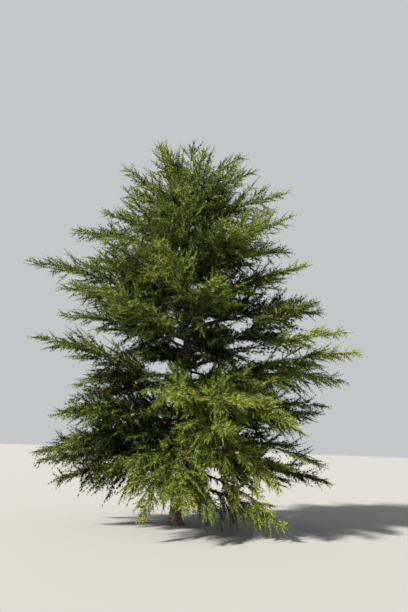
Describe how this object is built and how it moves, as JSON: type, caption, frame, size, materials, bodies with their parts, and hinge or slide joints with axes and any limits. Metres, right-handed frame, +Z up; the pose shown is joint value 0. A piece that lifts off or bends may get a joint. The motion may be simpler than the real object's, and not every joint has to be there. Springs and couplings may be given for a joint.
{
  "type": "atlas cedar",
  "caption": "Open-grown cedar tree with a flared leaning trunk, tiers of boughs and layered masses of needle sprays, rooted at ground level.",
  "frame": {"origin": "middle of the trunk's flat foot, at ground level", "axes": "+Z up the tree, +X to the right and -Y toward the viewer of the pictured side"},
  "size_m": [7.7514, 6.6455, 9.482],
  "materials": {
    "bark": "rough fissured grey-brown bark, matt",
    "needles": "needle tufts, deep green in shade and yellow-green at the lit tips, slightly waxy"
  },
  "bodies": {
    "root": {"leader_foliage": "needles", "tier1_back_bough": "bark", "tier1_back_foliage": "needles", "tier1_front_left_bough": "bark", "tier1_front_left_foliage": "needles", "tier1_front_right_bough": "bark", "tier1_front_right_foliage": "needles", "tier1_right_bough": "bark", "tier1_right_foliage": "needles", "tier2_back_bough": "bark", "tier2_back_foliage": "needles", "tier2_front_bough": "bark", "tier2_front_foliage": "needles", "tier2_front_right_bough": "bark", "tier2_front_right_foliage": "needles", "tier2_left_bough": "bark", "tier2_left_foliage": "needles", "tier2_right_bough": "bark", "tier2_right_foliage": "needles", "tier3_back_right_bough": "bark", "tier3_back_right_foliage": "needles", "tier3_front_bough": "bark", "tier3_front_foliage": "needles", "tier3_front_left_bough": "bark", "tier3_front_left_foliage": "needles", "tier3_left_bough": "bark", "tier3_left_foliage": "needles", "tier3_right_bough": "bark", "tier3_right_foliage": "needles", "tier4_back_bough": "bark", "tier4_back_foliage": "needles", "tier4_back_right_bough": "bark", "tier4_back_right_foliage": "needles", "tier4_front_left_bough": "bark", "tier4_front_left_foliage": "needles", "tier4_front_right_bough": "bark", "tier4_front_right_foliage": "needles", "tier4_left_bough": "bark", "tier4_left_foliage": "needles", "tier5_back_left_foliage": "needles", "tier5_back_right_foliage": "needles", "tier5_front_foliage": "needles", "tier5_left_foliage": "needles", "tier5_right_foliage": "needles", "tier6_back_foliage": "needles", "tier6_front_left_foliage": "needles", "tier6_front_right_foliage": "needles", "tier6_left_foliage": "needles", "tier6_right_foliage": "needles", "tier7_back_foliage": "needles", "tier7_front_foliage": "needles", "tier7_left_foliage": "needles", "tier7_right_foliage": "needles", "tier8_back_right_foliage": "needles", "tier8_front_foliage": "needles", "tier8_left_foliage": "needles", "tier9_back_foliage": "needles", "tier9_front_left_foliage": "needles", "tier9_front_right_foliage": "needles", "trunk": "bark"}
  },
  "joints": []
}
